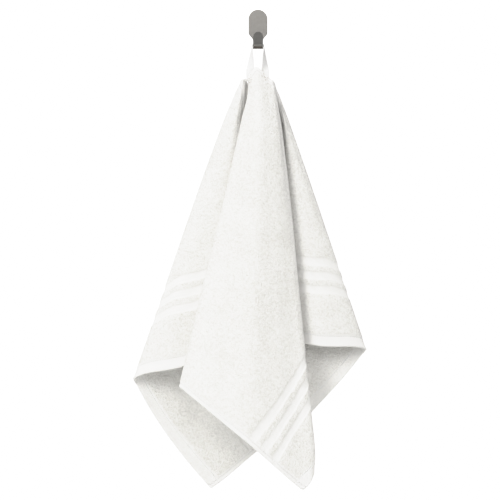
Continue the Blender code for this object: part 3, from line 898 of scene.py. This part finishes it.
def thickened(name, sheet, thickness, edge_radius, segments, least_angle):
    """An object from a sheet, with a thickness and rounded edges worked into its mesh."""
    obj = new_object(name, sheet)
    solid = obj.modifiers.new("Thickness", "SOLIDIFY")
    solid.thickness = thickness
    solid.offset = 0.0
    bevel = obj.modifiers.new("Rounded edges", "BEVEL")
    bevel.width = edge_radius
    bevel.segments = segments
    bevel.limit_method = "ANGLE"
    bevel.angle_limit = math.radians(least_angle)
    result = bpy.data.meshes.new_from_object(obj.evaluated_get(bpy.context.evaluated_depsgraph_get()))
    obj.modifiers.clear()
    obj.data = result
    bpy.data.meshes.remove(sheet)
    result.name = name
    return obj


def tape_object():
    """The tape's sheet, with each section turned and cut to the tape's width."""
    half = TAPE_WIDTH / 2
    steps = np.linspace(-1, 1, 9)
    points, places = [], []
    walked = np.concatenate([[0], np.cumsum(np.linalg.norm(np.diff(tape_line, axis=0), axis=1))])
    for (place, twist), run in zip(sections, walked):
        x, y, z = place
        sign = -1 if x < 0 else 1
        across_x, across_y = -sign * half * math.cos(twist), -half * math.sin(twist)
        points.append([(x + k * across_x, y + k * across_y, z) for k in steps])
        places.append([(k * half, run, 0) for k in steps])
    sheet = sheet_mesh("tape_loop", np.array(points), np.array(places))
    return thickened("tape_loop", sheet, TAPE_THICKNESS, TAPE_EDGE, 2, 30)


def tape_material():
    """A flat cotton tape, woven in a fine herringbone, with painted light on its threads' crests and painted shade
    between them.
    """
    material, tree, shader = new_material("cotton_tape", 0.85)
    place = add(tree, "Attribute", attribute_name="cloth").outputs["Vector"]
    parts = add(tree, "SeparateXYZ", {0: place}).outputs
    lean = calc(tree, "ADD", calc(tree, "ABSOLUTE", parts[0]), parts[1])
    threads = waves(tree, lean, TAPE_THREAD)
    height = calc(tree, "MULTIPLY_ADD", threads, 0.3, noise(tree, place, 1500.0)[0])
    # Painted light and shade of the herringbone: the threads' crests lighter, their grooves darker.
    color = blend_colors(tree, soft_step(tree, threads, -1.0, 0.4), TAPE_SHADE, TAPE_LIGHT)
    dress(tree, shader, color, height, 0.5, 0.25 * MM)
    shader.inputs["Specular IOR Level"].default_value = 0.2
    return material


tape = tape_object()
tape.data.materials.append(tape_material())
print("tape:", len(tape.data.polygons), "faces")

# %% [markdown]
# ## The hook
#
# The hook is one strip of metal, cut to a round-ended plate and a narrower tongue, then bent into a J.
# Its outline is a rule of height, so the strip is made row by row and bent on the way. The thin strip gets
# its thickness from Solidify and its soft, tumbled edges from a bevel.

# %% Shape of the hook
def hook_half_width(height, on_tongue):
    """Half the strip's width: a round-ended plate that tapers into a round-ended tongue."""
    plate, tongue = HOOK_PLATE_WIDTH / 2, HOOK_TONGUE_WIDTH / 2
    if on_tongue:
        lower = HOOK_TONGUE_TOP - height
        return math.sqrt(max(tongue**2 - max(tongue - lower, 0) ** 2, 0))
    lower = HOOK_TOP - height
    if lower < plate:
        return math.sqrt(max(plate**2 - (plate - lower) ** 2, 0))
    t = (HOOK_TAPER_START - height) / (HOOK_TAPER_START - HOOK_TAPER_END)
    t = min(max(t, 0), 1)
    return plate + (tongue - plate) * (3 * t**2 - 2 * t**3)


def hook_rows():
    """(depth, height, on the tongue) down the plate, round the bend and up the tongue."""
    radius = (HOOK_DEPTH - HOOK_THICKNESS) / 2
    back = -HOOK_THICKNESS / 2
    center = (-HOOK_DEPTH / 2, HOOK_BOTTOM + HOOK_THICKNESS / 2 + radius)
    plate, tongue = HOOK_PLATE_WIDTH / 2, HOOK_TONGUE_WIDTH / 2
    # Both round ends stop a little short of their tips, where the strip would have no width.
    rows = [(back, HOOK_TOP - plate * (1 - math.cos(a)), False) for a in np.linspace(0.12, math.pi / 2, 25)]
    rows += [(back, z, False) for z in np.linspace(HOOK_TAPER_START, HOOK_TAPER_END, 16)]
    rows += [(y, z, False) for y, z in arc(center, radius, 0, HOOK_LEAN - math.pi, 40)]
    y, z, _ = rows[-1]
    for a in np.linspace(math.pi / 2, 0.16, 20):
        height = HOOK_TONGUE_TOP - tongue * (1 - math.cos(a))
        rows.append((y - (height - z) * math.tan(HOOK_LEAN), height, True))
    return rows


def hook_object():
    points = []
    for y, z, on_tongue in hook_rows():
        half = hook_half_width(z, on_tongue)
        points.append([(half * k, y, z) for k in np.linspace(-1, 1, 13)])
    points = np.array(points)
    return thickened("metal_hook", sheet_mesh("metal_hook", points, points), HOOK_THICKNESS, HOOK_EDGE, 3, 40)


# %% Satin metal
METAL_DARK, METAL_LIGHT = (0.315, 0.302, 0.284), (0.34, 0.327, 0.308)
# Painted shade on the tongue, and a painted shadow under the bend.
TONGUE_SHADE_COLOR = (0.225, 0.219, 0.208)
BEND_SHADOW_COLOR = (0.07, 0.052, 0.038)


def satin_metal():
    """Fine tumbled metal: a soft grey with faint clouds, with painted shade on the tongue and a painted shadow under
    the bend.
    """
    material, tree, shader = new_material("satin_metal", 0.42)
    place = add(tree, "TexCoord").outputs["Object"]
    clouds = noise(tree, place, 260.0, 4.0, 0.6)[0]
    grain = noise(tree, place, 2600.0)[0]
    parts = add(tree, "SeparateXYZ", {0: place}).outputs
    on_tongue = soft_below(tree, parts[1], -HOOK_DEPTH, -0.6 * HOOK_DEPTH)
    # Painted shadow on the underside of the bend.
    low = soft_below(tree, parts[2], HOOK_BOTTOM + 1.5 * MM, HOOK_BOTTOM + 4 * MM)
    color = blend_colors(tree, soft_step(tree, clouds, 0.3, 0.7), METAL_DARK, METAL_LIGHT)
    color = blend_colors(tree, on_tongue, color, TONGUE_SHADE_COLOR)
    color = blend_colors(tree, calc(tree, "MULTIPLY", low, 0.8), color, BEND_SHADOW_COLOR)
    dress(tree, shader, color, grain, 0.12, 0.1 * MM)
    tree.links.new(soft_step(tree, grain, 0.2, 0.8, 0.38, 0.52), shader.inputs["Roughness"])
    shader.inputs["Metallic"].default_value = 0.85
    return material


hook = hook_object()
hook.data.materials.append(satin_metal())
print("hook:", len(hook.data.polygons), "faces")

# %% [markdown]
# ## Stitches
#
# All four edges are turned over and sewn down with white thread, 3 mm to a stitch. Each seam's line is
# laid on the cloth as a curve, on the face and on the reverse. The upper one leaves out the gathered cloth,
# 5 cm on each side of the middle, where a cross of stitches holds each foot of the tape. Geometry Nodes
# then sets one small padded stitch at each step of a curve, turned along it, because every stitch is the
# same and only the path changes.

# %% Where the seams run
STITCH_PITCH = 3.0 * MM
STITCH_LENGTH = 2.3 * MM
STITCH_WIDTH = 0.8 * MM
SEAM_SHORT = 0.004
SEAM_GAP = 0.05
HALVINGS = 40
THREAD_SHADE, THREAD_LIGHT = (0.84, 0.835, 0.82), (0.95, 0.947, 0.94)


def ray_through(across, down):
    """The ray, and the share of it, that passes a cloth place, found by halving."""
    low, high = np.zeros_like(across), np.full_like(across, KNOTS[-1])
    for _ in range(HALVINGS):
        middle = (low + high) / 2
        end_across, end_down = edge_point(middle)
        start = through(STARTS, middle)
        passed = (end_across - start) * down - end_down * (across - start) > 0
        low, high = np.where(passed, low, middle), np.where(passed, middle, high)
    edge = (low + high) / 2
    end_across, end_down = edge_point(edge)
    start = through(STARTS, edge)
    return edge, np.hypot(across - start, down) / np.hypot(end_across - start, end_down)


def on_skin(across, down, reverse):
    """Points on the towel's skin at cloth places."""
    edge, share = ray_through(across, down)
    share = share[:, None]
    step = 0.0005
    middle = cloth_surface(edge, share)[:, 0]
    around = (cloth_surface(edge + step, share) - cloth_surface(edge - step, share))[:, 0]
    along = (cloth_surface(edge, share + step) - cloth_surface(edge, share - step))[:, 0]
    out = unit(np.cross(around, along)) * (-1 if reverse else 1)
    height = skin_height(across, down, reverse) * top_thinning(across, down)
    return middle + out * height[:, None]


def seam_places():
    """Cloth places of the four seams, and of the crossed stitches that hold the tape's feet."""
    ends = np.linspace(SEAM_SHORT, TOWEL_WIDTH - SEAM_SHORT, 241)
    sides = np.linspace(-HALF + SEAM_SHORT, HALF - SEAM_SHORT, 421)
    hem = HALF - END_HEM + SEAM_INSET
    low = TOWEL_WIDTH - SIDE_HEM + SEAM_INSET
    high = SIDE_HEM - SEAM_INSET
    yield np.full_like(ends, -hem), ends
    yield np.full_like(ends, hem), ends
    yield sides, np.full_like(sides, low)
    for part in (sides[sides < -SEAM_GAP], sides[sides > SEAM_GAP]):
        yield part, np.full_like(part, high)
    along = np.linspace(-TACK_HALF, TACK_HALF, 9)
    for middle in (-TACK_ACROSS, TACK_ACROSS):
        for lean in (-1, 1):
            yield middle + lean * along, TACK_DOWN + along


def seam_curves():
    data = bpy.data.curves.new("seams", "CURVE")
    data.dimensions = "3D"
    for across, down in seam_places():
        for reverse in (False, True):
            points = on_skin(across, down, reverse)
            spline = data.splines.new("POLY")
            spline.points.add(len(points) - 1)
            spline.points.foreach_set("co", np.column_stack([points, np.ones(len(points))]).ravel())
    return new_object("seams", data)


seams = seam_curves()
print("seams:", len(seams.data.splines))


# %% The stitch tree
def thread_material():
    material, tree, shader = new_material("white_thread", 0.7)
    place = add(tree, "TexCoord").outputs["Object"]
    twist = noise(tree, place, 3000.0, 1.0)[0]
    dress(tree, shader, blend_colors(tree, twist, THREAD_SHADE, THREAD_LIGHT), twist, 0.4, 0.1 * MM)
    return material


def stitch_tree(material):
    """Geometry nodes that set a padded stitch at each step of a curve."""
    tree = bpy.data.node_groups.new("stitches", "GeometryNodeTree")
    face = tree.interface
    face.new_socket("Geometry", in_out="INPUT", socket_type="NodeSocketGeometry")
    for name in ("Pitch", "Length", "Width"):
        face.new_socket(name, in_out="INPUT", socket_type="NodeSocketFloat")
    face.new_socket("Geometry", in_out="OUTPUT", socket_type="NodeSocketGeometry")
    made = "GeometryNode"
    given = add(tree, "GroupInput", family="Node").outputs
    path = {"Curve": given["Geometry"], "Length": given["Pitch"]}
    spaced = add(tree, "ResampleCurve", path, made, mode="LENGTH").outputs[0]
    tangent = add(tree, "InputTangent", family=made).outputs[0]
    turn = add(tree, "AlignRotationToVector", {"Vector": tangent}, "FunctionNode", axis="Z").outputs[0]
    ball = add(tree, "MeshUVSphere", {"Segments": 6, "Rings": 5, "Radius": 0.5}, made).outputs["Mesh"]
    size = add(tree, "CombineXYZ", {0: given["Width"], 1: given["Width"], 2: given["Length"]}).outputs[0]
    stitch = {"Points": spaced, "Instance": ball, "Rotation": turn, "Scale": size}
    placed = add(tree, "InstanceOnPoints", stitch, made).outputs[0]
    real = add(tree, "RealizeInstances", {0: placed}, made).outputs[0]
    painted = add(tree, "SetMaterial", {"Geometry": real, "Material": material}, made).outputs[0]
    add(tree, "GroupOutput", {"Geometry": painted}, "Node")
    return tree


def grown(source, tree, name, values):
    """The plain mesh that a tree makes of a source object, which is then removed."""
    modifier = source.modifiers.new("Nodes", "NODES")
    modifier.node_group = tree
    for item in tree.interface.items_tree:  # a named input is set by its identifier
        if item.in_out == "INPUT" and item.name in values:
            modifier[item.identifier] = values[item.name]
    evaluated = source.evaluated_get(bpy.context.evaluated_depsgraph_get())
    mesh = bpy.data.meshes.new_from_object(evaluated)
    mesh.name = name
    mesh.shade_smooth()
    bpy.data.objects.remove(source, do_unlink=True)
    return new_object(name, mesh)


stitch_sizes = {"Pitch": STITCH_PITCH, "Length": STITCH_LENGTH, "Width": STITCH_WIDTH}
stitches = grown(seams, stitch_tree(thread_material()), "hem_stitches", stitch_sizes)
print("stitches:", len(stitches.data.polygons), "faces")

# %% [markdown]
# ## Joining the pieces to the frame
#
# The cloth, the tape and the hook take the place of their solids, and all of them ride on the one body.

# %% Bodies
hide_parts("towel")
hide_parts("hanging_loop")
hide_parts("wall_hook")
for piece, slot in ((towel, "terry"), (stitches, "terry"), (tape, "tape"), (hook, "hook_metal")):
    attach(piece, BODY)

total = 0
for piece in (towel, tape, hook, stitches):
    triangles = sum(len(face.vertices) - 2 for face in piece.data.polygons)
    total += triangles
    print(piece.name, triangles, "triangles")
print("all:", total)
